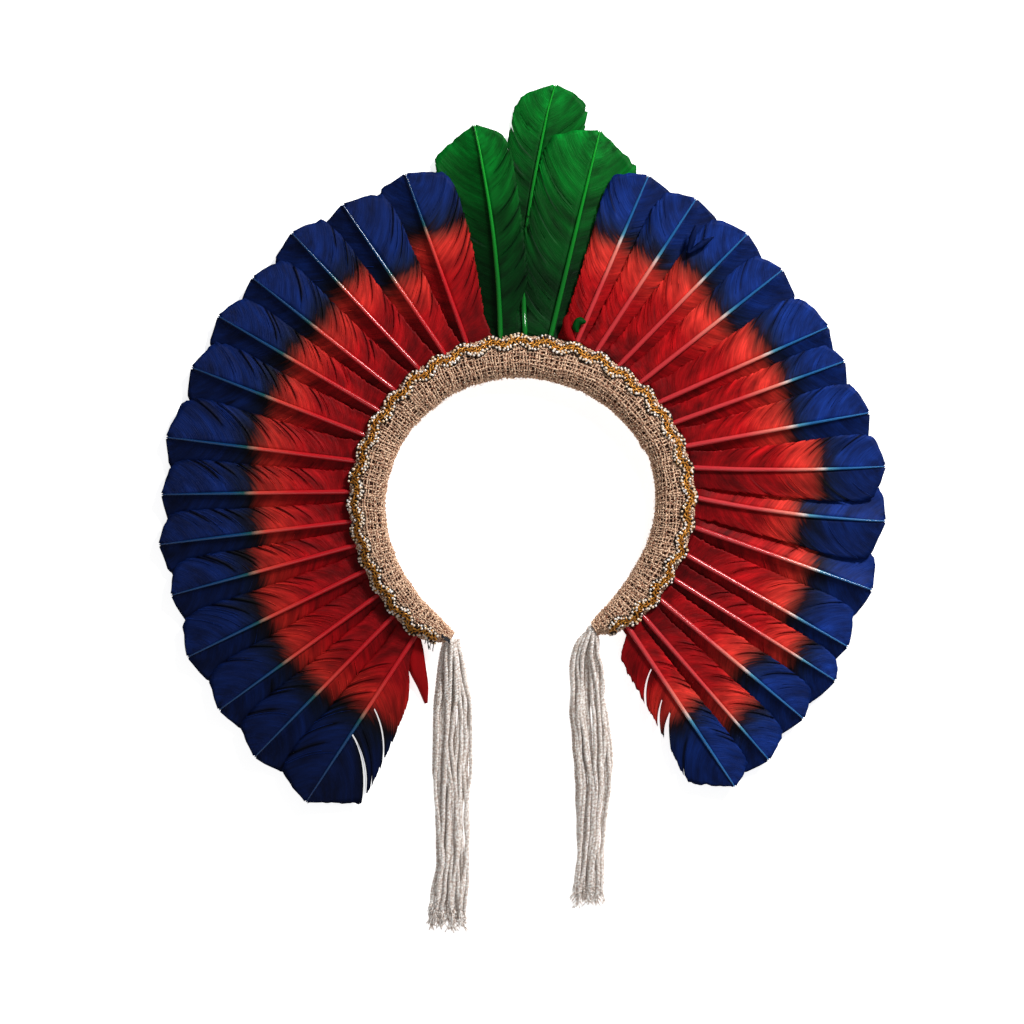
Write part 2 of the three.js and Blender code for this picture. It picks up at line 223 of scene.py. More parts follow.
# Dyed goose feather: matt barbs with a fine grain along them and lighter and darker
# clumps. The dye runs from red through a brown-black mix to blue, and its border wanders
# from barb to barb. Towards the band the red and green darken, partly in the dye and partly
# as painted shade between the quills. There are two sets of colours: a light one, and a dark
# one that also serves as painted shade. The map "dye" holds the distance past the border in
# units of 100 mm, and how far the colour goes from the light set to the dark. It is darker
# by the feather's angle round the ring, has painted shade on the half vane that tucks under
# its neighbour, and goes over one for painted shade beside a split. The map "barbs" holds
# the place along the shaft where a barb grows, in units of 100 mm, and the way from the
# shaft to the rim plus a whole number for each half vane. The grain is drawn coarser than
# single barbs, which are too fine to show.
def feather_material(name, light_colours, dark_and_shaded_colours):
    material, tree = new_material(name)
    uv = add(tree, "ShaderNodeUVMap", uv_map="barbs").outputs["UV"]
    dip = add(tree, "ShaderNodeUVMap", uv_map="dye").outputs["UV"]
    past = add(tree, "ShaderNodeSeparateXYZ", {"Vector": dip})

    def streaks(scale, detail, roughness=0.5):
        place = add(tree, "ShaderNodeMapping", {"Vector": uv, "Scale": (*scale, 1.0)})
        return add(tree, "ShaderNodeTexNoise", {"Vector": place.outputs[0], "Scale": 1.0,
                                                "Detail": detail, "Roughness": roughness})

    def ranged(value, low, high):
        return add(tree, "ShaderNodeMapRange", {"Value": value, "From Min": 0.3, "From Max": 0.7,
                                                "To Min": low, "To Max": high})

    def scaled(colour, share):
        return add(tree, "ShaderNodeVectorMath", {0: colour.outputs[0], "Scale": share.outputs[0]},
                   operation="SCALE")

    patch = streaks((9.0, 1.3), 3.0)
    streak = streaks((55.0, 1.6), 2.0)
    clump = streaks((26.0, 1.1), 2.0)
    barb = streaks((130.0, 2.0), 4.0, 0.65)
    shift = add(tree, "ShaderNodeMath", {0: patch.outputs["Fac"], 1: 0.14, 2: past.outputs["X"]},
                operation="MULTIPLY_ADD")
    wander = add(tree, "ShaderNodeMath", {0: streak.outputs["Fac"], 1: 0.11, 2: shift.outputs[0]},
                 operation="MULTIPLY_ADD")
    # The two noises add 0.125 on average, which the range takes off again.
    place = add(tree, "ShaderNodeMapRange",
                {"Value": wander.outputs[0], "From Min": -0.875, "From Max": 0.825})
    light = add(tree, "ShaderNodeValToRGB", {"Fac": place.outputs[0]})
    set_ramp(light.color_ramp, light_colours)
    darker_and_shaded = add(tree, "ShaderNodeValToRGB", {"Fac": place.outputs[0]})
    set_ramp(darker_and_shaded.color_ramp, dark_and_shaded_colours)
    dye = add(tree, "ShaderNodeMixRGB", {"Fac": past.outputs["Y"], "Color1": light.outputs["Color"],
                                         "Color2": darker_and_shaded.outputs["Color"]})
    colour = scaled(dye, ranged(patch.outputs["Fac"], 0.5, 1.42))
    colour = scaled(colour, ranged(clump.outputs["Fac"], 0.72, 1.26))
    # Painted shade beside the splits: values of the dye map over one darken the colour, to 0.22 of it at
    # two.
    shade = add(tree, "ShaderNodeMapRange",
                {"Value": past.outputs["Y"], "From Min": 1.0, "From Max": 2.0,
                 "To Min": 1.0, "To Max": 0.22})
    colour = scaled(colour, shade)
    colour = scaled(colour, ranged(barb.outputs["Fac"], 0.72, 1.28))
    bump = add(tree, "ShaderNodeBump",
               {"Height": barb.outputs["Fac"], "Strength": 0.7, "Distance": 0.0005})
    shader = add(tree, "ShaderNodeBsdfPrincipled",
                 {"Base Color": colour.outputs[0], "Normal": bump.outputs[0], "Roughness": 0.55,
                  "Specular IOR Level": 0.08})
    close_material(tree, shader)
    return material


# Dyed quill: smooth horn, glossy enough for a thin line of light along it. It reads
# the attribute past_border, the distance past the border of the dye in units of 100 mm.
def quill_material(name, stops):
    material, tree = new_material(name)
    along = add(tree, "ShaderNodeAttribute", attribute_name="past_border")
    place = add(tree, "ShaderNodeMapRange",
                {"Value": along.outputs["Fac"], "From Min": -1.0, "From Max": 0.7})
    dye = add(tree, "ShaderNodeValToRGB", {"Fac": place.outputs[0]})
    set_ramp(dye.color_ramp, stops)
    shader = add(tree, "ShaderNodeBsdfPrincipled",
                 {"Base Color": dye.outputs["Color"], "Roughness": 0.2, "Specular IOR Level": 0.45})
    close_material(tree, shader)
    return material


def mottled_material(name, dark, light, grain_mm, roughness, bump_mm=0.0, metallic=0.0,
                     glow=0.0, spread=0.2):
    """A finish that wanders between two colours, with grains of a real size."""
    material, tree = new_material(name)
    place = add(tree, "ShaderNodeTexCoord").outputs["Object"]
    grain = add(tree, "ShaderNodeTexNoise",
                {"Vector": place, "Scale": 1.0 / (grain_mm * MM), "Detail": 3.0})
    ramp = add(tree, "ShaderNodeValToRGB", {"Fac": grain.outputs["Fac"]})
    set_ramp(ramp.color_ramp, [(0.5 - spread, dark), (0.5 + spread, light)])
    shader = add(tree, "ShaderNodeBsdfPrincipled",
                 {"Base Color": ramp.outputs["Color"], "Roughness": roughness,
                  "Metallic": metallic, "Emission Color": (1.0, 1.0, 1.0, 1.0),
                  "Emission Strength": glow})
    if bump_mm:
        bump = add(tree, "ShaderNodeBump",
                   {"Height": grain.outputs["Fac"], "Strength": 0.6, "Distance": bump_mm * MM})
        tree.links.new(bump.outputs[0], shader.inputs["Normal"])
    close_material(tree, shader)
    return material


# The first stops of each list lie towards the band. They are partly the dye's deeper colour and partly
# painted shade between the quills. The second list is the dark set, which also serves as painted shade.
RED_FEATHER = feather_material(
    "red_to_blue_dyed_goose_feather",
    [(0.0, "#560004"), (0.2, "#800308"), (0.4, "#AE0D12"), (0.52, "#DC362C"), (0.566, "#8E2E24"),
     (0.592, "#20101A"), (0.628, "#10204A"), (0.70, "#0E2C76"), (0.95, "#08205C")],
    [(0.0, "#380003"), (0.2, "#620308"), (0.4, "#82060C"), (0.53, "#84120E"), (0.568, "#380C0A"),
     (0.592, "#080406"), (0.625, "#020611"), (0.75, "#020A28"), (0.95, "#020820")])
GREEN_FEATHER = feather_material(
    "green_dyed_goose_feather",
    [(0.0, "#002E0A"), (0.25, "#004A12"), (0.45, "#00681C"), (0.59, "#007824")],
    [(0.0, "#001A06"), (0.25, "#00300C"), (0.45, "#004A12"), (0.59, "#005E1A")])
RED_QUILL = quill_material("red_to_blue_dyed_quill", [
    (0.0, "#98101A"), (0.4, "#C01820"), (0.55, "#D04036"), (0.585, "#9A6A58"), (0.61, "#124A4C"),
    (0.66, "#083C6A"), (1.0, "#062450")])
# The right side's quills are paler: partly their own colour, partly a painted highlight, since the key
# light runs along them and lights none.
PALE_AND_LIT_QUILL = quill_material("pale_red_to_blue_quill_painted_highlight", [
    (0.0, "#B41E28"), (0.4, "#D23C40"), (0.55, "#EC8474"), (0.585, "#D8C0B8"), (0.61, "#4A8CA8"),
    (0.66, "#1E5E98"), (1.0, "#2E6AA8")])
GREEN_QUILL = quill_material("green_dyed_quill", [(0.0, "#0A6A1E"), (0.6, "#10A028"), (1.0, "#18B030")])
# Jute thread: matt tan fibre, hairy and uneven.
JUTE = mottled_material("jute_thread", "#7C3C1E", "#FFDCBA", 0.9, 0.9, bump_mm=0.2,
                        spread=0.1)
# Padding under the weave: only a dark brown shows between the threads.
PADDING = mottled_material("brown_padding_cloth", "#240E06", "#4E2814", 3.0, 1.0)
# Silver-lined champagne glass seed beads: bright points, with the braid ground's painted shade in the
# gaps between.
BEAD = mottled_material("champagne_glass_bead", "#E8C08A", "#FFFFFF", 2.6, 0.1)
# Gold lurex thread: metal film wound on a core.
GOLD = mottled_material("gold_lurex_thread", "#A05A12", "#F4B048", 1.2, 0.35, metallic=0.4)
# The braid's woven ground, darkened near black as painted shade in the gaps between the beads.
BRAID_GROUND_AND_SHADE = mottled_material("brown_braid_ground_painted_shade", "#120B06", "#3A2410", 1.5, 0.9)
# Twisted cotton cord: off-white and matt.
COTTON = mottled_material("twisted_cotton_cord", "#CDB9AC", "#FFFCF8", 1.5, 0.95, bump_mm=0.3,
                          spread=0.12)
# Dark polyester sewing thread of the knot at the band's left end.
SEWING_THREAD = mottled_material("dark_sewing_thread", "#0C0E14", "#2A2E38", 1.0, 0.6)
# White backdrop paper lit from behind, which keeps the shadows on it faint.
PAPER = mottled_material("white_backdrop_paper", "#F6F6F6", "#FAFAFA", 40.0, 0.9, glow=0.75)


# ---- camera, light and floor ----

bounds_low, bounds_high = [millimetres(corner) for corner in CAD_BOX]
middle = (bounds_low + bounds_high) / 2

VIEW_WIDTH = 687.0  # what the camera takes in at the floor
CAMERA_HEIGHT = 1900.0
SENSOR_WIDTH = 36.0
FRAME_SHIFT = Vector((-6.9, -4.0))  # from the box's middle to what the camera looks at
FLOOR_REACH = 12000.0


def make_camera():
    data = bpy.data.cameras.new("camera")
    data.sensor_width = SENSOR_WIDTH
    data.lens = SENSOR_WIDTH * CAMERA_HEIGHT / VIEW_WIDTH
    data.clip_end = 20.0
    camera = placed("camera", data)
    camera.location = (MM * (middle.x + FRAME_SHIFT.x), MM * (middle.y + FRAME_SHIFT.y),
                       MM * CAMERA_HEIGHT)
    bpy.context.scene.camera = camera


def make_light(name, place, size, power):
    """A square soft light that looks at the middle of the headdress."""
    data = bpy.data.lights.new(name, "AREA")
    data.size = size
    data.energy = power
    light = placed(name, data)
    light.location = place
    light.rotation_euler = (-Vector(place)).to_track_quat("-Z", "Y").to_euler()


def make_stage():
    bm = bmesh.new()
    bmesh.ops.create_grid(bm, x_segments=1, y_segments=1, size=FLOOR_REACH)
    mesh = bpy.data.meshes.new("floor")
    bm.to_mesh(mesh)
    bm.free()
    mesh.transform(Matrix.Scale(MM, 4))
    mesh.materials.append(PAPER)
    placed("floor", mesh)
    make_light("key_light", (1.05, 1.4, 1.3), 0.4, 54.0)
    make_light("fill_light", (-0.3, -0.9, 1.9), 1.6, 7.0)
    world = bpy.data.worlds.new("studio")
    bpy.context.scene.world = world
    world.use_nodes = True
    background = world.node_tree.nodes["Background"]
    background.inputs["Color"].default_value = (1, 1, 1, 1)
    background.inputs["Strength"].default_value = 0.14
    bpy.context.scene.view_settings.view_transform = "Standard"


make_camera()
make_stage()


# ---- feathers ----

band_low, band_high = [millimetres(corner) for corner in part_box("band")]
RING = Vector(((band_low.x + band_high.x) / 2, band_high.y - (band_high.x - band_low.x) / 2))

QUILL_END = 1.5  # the quill's end face lies within this of the ring
TIP_END = 0.5
SAME_STATION = 0.5  # points closer than this along a feather are one section
BARB_ROWS = 140  # barb clumps along a half vane
BARB_COLUMNS = 9
BARB_LEAN = 1.05  # how far a barb reaches on per width of vane
BARB_BOW = 0.6  # how a barb curves along the feather
BARB_SPREAD = 1.3  # and away from the shaft
LEAN_RUN = 48.0  # the barbs by the band lean less
FIRST_BARB = 4.0  # from the quill's end, just under the braid
ROOT_FILL = 12.0  # the vanes fill the fan down to the band
ROOT_OPEN = 0.25  # share of the vane's fall at its first barbs
OPEN_RUN = 10.0
RIM_WEAR = 0.05
CLUMP_LIFT = 0.5
BARB_LIFT = 0.2
VANE_THICKNESS = 0.28
BLADE_THICKNESS = 0.4
BLADE_GRID = (4, 24)
BLADE_CUP = 1.2  # how much a loose blade arches across
MID_BEND = 0.45  # where the CAD vane has its middle points
SHAFT_STEPS = 48
SHAFT_TIP = 0.34  # radius of a shaft at its tip
SHAFT_SWELL = 1.55  # how much thicker it grows towards the band
QUILL_RADIUS = 1.25  # where it goes under the braid
LOOSE_BARBS = 12


def polar(degrees, radius, height):
    """A point by its angle and distance round the middle of the ring."""
    turn = math.radians(degrees)
    return Vector((RING.x + radius * math.cos(turn), RING.y + radius * math.sin(turn), height))


class Feather:
    """A CAD feather, measured: its shaft line, its rims and its heights."""

    def __init__(self, name):
        self.name = name
        corners = {tuple(round(c / MM, 2) for c in v.co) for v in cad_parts[name].data.vertices}
        points = [Vector(c) for c in corners]
        nearest = min((p.xy - RING).length for p in points)
        quill_end = [p for p in points if (p.xy - RING).length < nearest + QUILL_END]
        self.root = sum((p.xy for p in quill_end), Vector((0, 0))) / len(quill_end)
        self.quill_height = sum(p.z for p in quill_end) / len(quill_end)
        reach = max((p.xy - self.root).length for p in points)
        tip = [p.xy for p in points if (p.xy - self.root).length > reach - TIP_END]
        chord = sum(tip, Vector((0, 0))) / len(tip) - self.root
        self.length = chord.length
        self.along = chord.normalized()
        self.right = Vector((self.along.y, -self.along.x))
        self.measure([self.local(p) for p in points])

    def local(self, point):
        """(across, along, height) in the feather's own directions."""
        offset = point.xy - self.root
        return Vector((offset.dot(self.right), offset.dot(self.along), point.z))

    def world(self, across, along, height):
        spot = self.root + self.right * across + self.along * along
        return Vector((spot.x, spot.y, height))

    def measure(self, points):
        """Reads the cross-sections, which stand square to the chord."""
        stations = []
        for p in sorted(points, key=lambda p: p.y):
            if stations and p.y - stations[-1][-1].y < SAME_STATION:
                stations[-1].append(p)
            else:
                stations.append([p])
        rows = [self.read_section(section) for section in stations[2:]]
        places = [row["y"] for row in rows]
        self.shaft_x = smooth_track([0.0] + places, [0.0] + [row["x"] for row in rows])
        self.ridge = smooth_track([0.0] + places, [self.quill_height] + [row["z"] for row in rows])
        self.fill = {side: places[0] + ROOT_FILL for side in (-1, 1)}
        self.width = {}
        self.fall = {}
        for side in (-1, 1):
            self.width[side] = smooth_track(places, [row[side][0] for row in rows])
            self.fall[side] = (smooth_track(places, [row[side][1] for row in rows]),
                               smooth_track(places, [row[side][2] for row in rows]))

    @staticmethod
    def read_section(section):
        """Shaft place, and for each side: half width, fall at the bend, fall at the rim."""
        top = max(section, key=lambda p: p.z)
        keel = min((p for p in section if abs(p.x - top.x) < 0.05), key=lambda p: p.z)
        row = {"y": section[0].y, "x": top.x, "z": (top.z + keel.z) / 2}
        for side in (-1, 1):
            pairs = {}
            for p in section:
                pairs.setdefault(round(side * (p.x - top.x), 1), []).append(p.z)
            halves = sorted((u, sum(z) / 2) for u, z in pairs.items() if u > 0.2 and len(z) == 2)
            width, rim = halves[-1]
            bend = halves[0][1] if len(halves) > 1 else blend(row["z"], rim, MID_BEND)
            row[side] = (width, row["z"] - bend, row["z"] - rim)
        return row

    def height(self, side, u, y):
        """Height of a half vane at a distance u from the shaft."""
        k = min(u / self.width[side](max(y, self.fill[side])), 1.0)
        bend, rim = [fall(y) for fall in self.fall[side]]
        at_bend = k * (1 - k) / (MID_BEND * (1 - MID_BEND))
        at_rim = k * (k - MID_BEND) / (1 - MID_BEND)
        open_out = blend(ROOT_OPEN, 1.0, ease(y, FIRST_BARB, FIRST_BARB + OPEN_RUN))
        return self.ridge(y) - open_out * (at_bend * bend + at_rim * rim)

    def barb_point(self, side, s, t):
        """Where a barb is: s along the rim, t from the shaft to the rim."""
        rim_y = blend(FIRST_BARB, self.length, s)
        width = self.width[side](max(rim_y, self.fill[side]))
        lean = BARB_LEAN * width * ease(rim_y, FIRST_BARB - 2.0, LEAN_RUN)
        start = rim_y - lean
        y = start + lean * (BARB_BOW * t * (1 - t) + t * t)
        shaft = blend(self.shaft_x(start), self.shaft_x(rim_y), t * t)
        x = shaft + side * width * (BARB_SPREAD * t * (1 - t) + t * t)
        return x, y, start


CREASE_LAP = 0.7 / BARB_ROWS  # how far the barbs lap over each other at a crease
PULL_REACH = 0.05  # how far along the rim a split pulls its barbs apart
CURL_REACH = 0.016  # how far along it they curl up on one side
SINK_REACH = 0.02  # and sink on the other
SINK = 0.3
SHADE_ROWS = 1.1  # rows of barbs over which the shade of a split fades
SPLIT_SHADE = 1.5


class Split(NamedTuple):
    """A split between barbs: side -1 is left of the shaft and 1 right of it. It has its
    place along the rim, starts at a depth between shaft (0) and rim (1), stays a lapped
    crease as far as closed, and then opens to a share of the feather's length."""
    side: int
    place: float
    depth: float
    closed: float
    opening: float
    curl: float = 0.5


def near_split(splits, side, s, t):
    """The sideways shift along the rim and the lift of a barb beside the splits."""
    shift, lift = 0.0, 0.0
    for split in splits:
        if split.side != side or t <= split.depth:
            continue
        gap = s - split.place
        reach = (t - split.depth) / (1 - split.depth)
        pull = split.opening * ease(t, split.closed, 1.05)
        if split.closed > split.depth:
            pull -= CREASE_LAP
        shift += math.copysign(1.0, gap) * pull * math.exp(-abs(gap) / PULL_REACH)
        if gap < 0:
            lift += split.curl * reach ** 0.7 * math.exp(gap / CURL_REACH)
        else:
            lift -= SINK * reach * math.exp(-gap / SINK_REACH)
    return shift, lift


def split_shade(splits, side, s, t):
    """How dark the shade of the nearest split is, from 0 to 1."""
    shade = 0.0
    for split in splits:
        if split.side == side and t > split.depth:
            rows = abs(s - split.place) * BARB_ROWS
            fade = ease(t, split.depth, split.depth + 0.2) * math.exp(-rows / SHADE_ROWS)
            shade = max(shade, fade)
    return shade


def build_vane(feather, index, border, splits, darkness_and_shade, material):
    """The two half vanes of a feather as rows of barbs, with splits between some."""
    bm = bmesh.new()
    barb_map = bm.loops.layers.uv.new("barbs")
    dye_and_shade_map = bm.loops.layers.uv.new("dye")
    for side in (-1, 1):
        grid = bmesh.ops.create_grid(bm, x_segments=BARB_COLUMNS, y_segments=BARB_ROWS, size=1.0)
        barbs = {}
        for vert in grid["verts"]:
            t, s = (vert.co.x + 1) / 2, (vert.co.y + 1) / 2
            barbs[vert] = (s, t)
        faces = dict.fromkeys(face for vert in grid["verts"] for face in vert.link_faces)
        for face in list(faces):
            s = sum(barbs[v][0] for v in face.verts) / len(face.verts)
            t = sum(barbs[v][1] for v in face.verts) / len(face.verts)
            for split in splits:
                opens = max(split.depth, split.closed)
                if split.side == side and abs(s - split.place) < 0.5 / BARB_ROWS and t > opens:
                    del faces[face]
                    bm.faces.remove(face)
                    break
        starts = {}
        for vert, (s, t) in barbs.items():
            shift, lift = near_split(splits, side, s, t)
            pushed = min(max(s + shift, 0.0), 1.0)
            wear = RIM_WEAR + RIM_WEAR * ease(s, 0.85, 0.4)
            ragged = 1 - wear * t * (0.5 + ripple(index + 40, s * 60, side * 5))
            x, y, start = feather.barb_point(side, pushed, t * ragged)
            u = abs(x - feather.shaft_x(y))
            lift += CLUMP_LIFT * t * ripple(index, s * 14, side * 3)
            lift += BARB_LIFT * t * ripple(index, s * 50, side)
            starts[vert] = (start, y)
            vert.co = feather.world(x, y, feather.height(side, u, y) + lift)
        for face in faces:
            for loop in face.loops:
                start, y = starts[loop.vert]
                half = 2 * index + (side > 0)
                loop[barb_map].uv = (start / 100, half + 0.98 * barbs[loop.vert][1])
                # The dye map's second value: darker by the feather's angle, with painted shade on the
                # tucked half and beside each split.
                shade = SPLIT_SHADE * split_shade(splits, side, *barbs[loop.vert])
                loop[dye_and_shade_map].uv = ((y - border) / 100, darkness_and_shade[side] + shade)
        face_up(bm, faces)
    loose = [v for v in bm.verts if not v.link_faces]
    bmesh.ops.delete(bm, geom=loose, context="VERTS")
    piece = from_bmesh(feather.name + "_vane", bm, material)
    thicken(piece, VANE_THICKNESS)
    return piece


def build_shaft(feather, border, material):
    """The round shaft along the ridge, thick at the band and thin at the tip."""
    strand = []
    for i in range(SHAFT_STEPS + 1):
        y = blend(0.5, feather.length - 0.4, i / SHAFT_STEPS)
        s = y / feather.length
        radius = SHAFT_TIP + SHAFT_SWELL * (1 - s) ** 0.65
        radius = blend(QUILL_RADIUS, radius, ease(y, 4.0, 7.0))
        spot = feather.world(feather.shaft_x(y), y, feather.ridge(y) + 0.45 * radius)
        strand.append((spot, radius))
    mesh = strand_mesh(feather.name + "_shaft", [strand], roundness=2)
    past = mesh.attributes.new("past_border", "FLOAT", "POINT")
    past.data.foreach_set("value", [(feather.local(v.co).y - border) / 100 for v in mesh.vertices])
    return finished(feather.name + "_shaft", mesh, material)


# The last feather on each side has no neighbour below to fill the fan.
END_FEATHERS = ("feather_left_14", "feather_right_15")

# Length of blue at each tip, from the crest down.
BLUE_LEFT = [41, 61, 48, 53, 54, 56, 58, 59, 66, 57, 57, 56, 61, 70]
BLUE_RIGHT = [47, 49, 43, 49, 44, 41, 52, 42, 55, 41, 42, 30, 50, 33, 57]

# Open splits that show what lies behind.
SPLITS = {
    "feather_left_14": [Split(-1, 0.835, 0.05, 0.0, 0.017), Split(-1, 0.63, 0.1, 0.0, 0.006)],
    "feather_right_15": [Split(1, 0.405, 0.1, 0.1, 0.01), Split(1, 0.545, 0.35, 0.35, 0.014),
                         Split(1, 0.63, 0.3, 0.25, 0.036)],
}


def worn_splits(index, upper):
    """Narrow creases between barbs, most of them on the upper half vane."""
    dice = random.Random(100 + index)
    splits = []
    for side, count in ((upper, dice.randint(5, 8)), (-upper, dice.randint(1, 3))):
        for k in range(count):
            place = blend(0.25, 0.9, (k + dice.uniform(0.1, 0.9)) / count)
            splits.append(Split(side, place, dice.uniform(0.08, 0.5), 0.75,
                                dice.uniform(0.003, 0.011), dice.uniform(0.5, 1.5)))
    return splits


def dyed_strands(name, strands, feather, border, darkness_and_shade):
    """Strands that carry the two maps of the feather's material."""
    mesh = strand_mesh(name, strands)
    for key in ("barbs", "dye"):
        layer = mesh.uv_layers.new(name=key)
        for loop, entry in zip(mesh.loops, layer.data):
            y = feather.local(mesh.vertices[loop.vertex_index].co).y
            entry.uv = (y / 100, 0.5) if key == "barbs" else ((y - border) / 100, darkness_and_shade)
    return mesh


def loose_barbs(feather, index, upper):
    """Thin single barbs that stand up from the vane."""
    dice = random.Random(300 + index)
    strands = []
    for _ in range(LOOSE_BARBS):
        side = upper if dice.random() < 0.75 else -upper
        s, start, end = dice.uniform(0.3, 0.95), dice.uniform(0.1, 0.5), dice.uniform(0.85, 1.02)
        strand = []
        for k in range(8):
            t = blend(start, end, k / 7)
            x, y, _ = feather.barb_point(side, s, t)
            z = feather.height(side, abs(x - feather.shaft_x(y)), y)
            strand.append((feather.world(x, y, z + 0.3 + 0.6 * (k / 7) ** 2), 0.16 - 0.008 * k))
        strands.append(strand)
    return strands


def curved_blade(name, points, widths, material, dye):
    """A narrow loose bunch of barbs: a flat blade along a curve. Its dye is the pair of
    values that the map "dye" holds."""
    bm = bmesh.new()
    barb_map = bm.loops.layers.uv.new("barbs")
    dye_and_shade_map = bm.loops.layers.uv.new("dye")
    steps = len(points) - 1
    route = [smooth_track(list(range(steps + 1)), [p[axis] for p in points]) for axis in range(3)]
    breadth = smooth_track(list(range(steps + 1)), widths)

    def place(u, v):
        k = v * steps
        here, after = [Vector([track(k + shift) for track in route]) for shift in (-0.05, 0.05)]
        heading = (after - here).normalized()
        across = Vector((heading.y, -heading.x, 0)).normalized()
        cup = Vector((0, 0, BLADE_CUP * (1 - (2 * u - 1) ** 2)))
        return (here + after) / 2 + across * blend(-0.5, 0.5, u) * breadth(k) + cup

    grid_piece(bm, *BLADE_GRID, place)
    for face in bm.faces:
        for loop in face.loops:
            loop[barb_map].uv = (loop.vert.co.x * 0.013, 0.5)
            loop[dye_and_shade_map].uv = dye
    face_up(bm, bm.faces)
    piece = from_bmesh(name, bm, material)
    thicken(piece, BLADE_THICKNESS)


def make_loose_pieces(feathers):
    """Torn bunches of barbs: by the band at the left end and beside the crest, and a tuft
    that stands up from a feather's blue."""
    strip = [polar(*spot) for spot in
             ((229.2, 112.5, 7.5), (232.8, 119.5, 7.0), (236.2, 126.5, 5.5), (240.8, 136.0, 3.5),
              (243.8, 145.5, 1.5))]
    curved_blade("feather_left_14_torn_strip", strip, [11.0, 13.0, 12.0, 7.5, 2.2], RED_FEATHER,
                 (-0.4, 0.4))
    first = feathers["feather_right_01"]
    curl = [first.world(across, y, height) for across, y, height in
            ((-1.5, 6, 12), (-7, 9, 13), (-11.5, 16, 14), (-11, 23, 14.5))]
    curved_blade("feather_right_01_curl", curl, [2.4, 6.2, 5.6, 1.2], RED_FEATHER, (-0.4, 0.7))
    dark = [first.world(across, y, height) for across, y, height in
            ((-2, 12, 13), (-4.5, 15, 14.5), (-3.5, 19.5, 15), (0.5, 20.5, 14))]
    curved_blade("feather_green_03_curl", dark, [2.0, 5.0, 5.5, 1.5], GREEN_FEATHER, (-0.4, 1.0))
    for number, tip in ((1, 58.6), (2, 54.8)):
        tuft = [polar(blend(57.0, tip, t), blend(203, 222, t), 13.2 + 1.6 * t) for t in (0, 0.5, 1)]
        curved_blade("feather_right_03_tuft_%d" % number, tuft, [2.2, 4.4, 0.8], RED_FEATHER, (0.3, 0.6))


# How far a feather's colour goes towards the dark set, by its angle round the ring: darker towards the
# lower left.
DARKNESS_BY_ANGLE = smooth_track([-60, -20, 10, 40, 75, 105, 140, 180, 235],
                    [0.15, 0.1, 0.05, 0.0, 0.05, 0.4, 0.45, 0.6, 0.8])
# Painted shade on the half that tucks under its neighbour, as it lies in that neighbour's shadow.
STEEP_PAINTED_SHADE = 0.5  # the half that tucks under its neighbour looks deeper


def make_feathers():
    names = sorted(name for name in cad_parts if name.startswith("feather_"))
    feathers = {name: Feather(name) for name in names}
    make_loose_pieces(feathers)
    for index, (name, feather) in enumerate(feathers.items()):
        green = "green" in name
        number = int(name[-2:]) - 1
        upper = -1 if feather.along.x > 0 else 1
        if name in END_FEATHERS:
            feather.fill[-upper] = 0.0
        if green:
            border = feather.length
        else:
            blue = (BLUE_LEFT if "left" in name else BLUE_RIGHT)[number]
            border = feather.length - blue
        depth = DARKNESS_BY_ANGLE(bearing(feather.along))
        # The upper half takes the darkness of its angle. The half tucked under its neighbour gets
        # painted shade on top of it.
        darkness_and_shade = {upper: depth, -upper: blend(depth, 1.0, STEEP_PAINTED_SHADE)}
        splits = SPLITS.get(name, []) + worn_splits(index, upper)
        material = GREEN_FEATHER if green else RED_FEATHER
        vane = build_vane(feather, index, border, splits, darkness_and_shade, material)
        quill = GREEN_QUILL if green else PALE_AND_LIT_QUILL if upper < 0 else RED_QUILL
        shaft = build_shaft(feather, border, quill)
        strands = loose_barbs(feather, index, upper)
        mesh = dyed_strands(name + "_loose_barbs", strands, feather, border, 0.0)
        barbs = finished(name + "_loose_barbs", mesh, material)
        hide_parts(name)


make_feathers()


# ---- band ----

CROSS_PITCH = 1.75  # between the burlap threads that go round the band
ALONG_PITCH = 1.85  # between those that run along it
WEAVE_RISE = 0.5  # how far a thread rises over a crossing
WEAVE_FROM = -30.0  # the weave's reach round the section, in degrees from the outer edge
WEAVE_TO = 222.0
CROWN_FILL = 2.2  # how much more the band bulges inward under the crest
CROWN_ANGLE = 88.0
CROWN_SPREAD = 42.0
PADDING_GRID = (28, 170)
SINK_UNDER_WEAVE = -0.7
EDGE_LEVEL = 0.22  # of the band's height, where its edges are measured
STRAY_FIBRES = 420
LUMPS, SLANTS, SAGS, SWINGS = 80, 81, 82, 83  # seeds of the ripples
PUCKER_WIDTH = 1.1
# Angle and depth of the places where the winding pulls in or lets out the padding.
PUCKERS = [(141, -1.1), (129, 0.9), (95, -1.3), (60, -0.7), (25, 1.0), (-20, -0.6)]
# How strongly the threads round the band stand out over those along it, by angle.
CROSS_SHARE = smooth_track([-60, -15, 15, 80, 97, 140, 165, 205, 245],
                           [0.6, 0.5, 0.3, 0.3, 0.75, 0.8, 0.5, 0.35, 0.35])


def probe(name):
    """A function that gives the first point of a CAD node along a ray, or None."""
    bm = bmesh.new()
    bm.from_mesh(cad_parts[name].data)
    tree = BVHTree.FromBMesh(bm)
    bm.free()

    def cast(start, direction):
        place = tree.ray_cast(Vector(start) * MM, Vector(direction))[0]
        return place / MM if place else None
    return cast


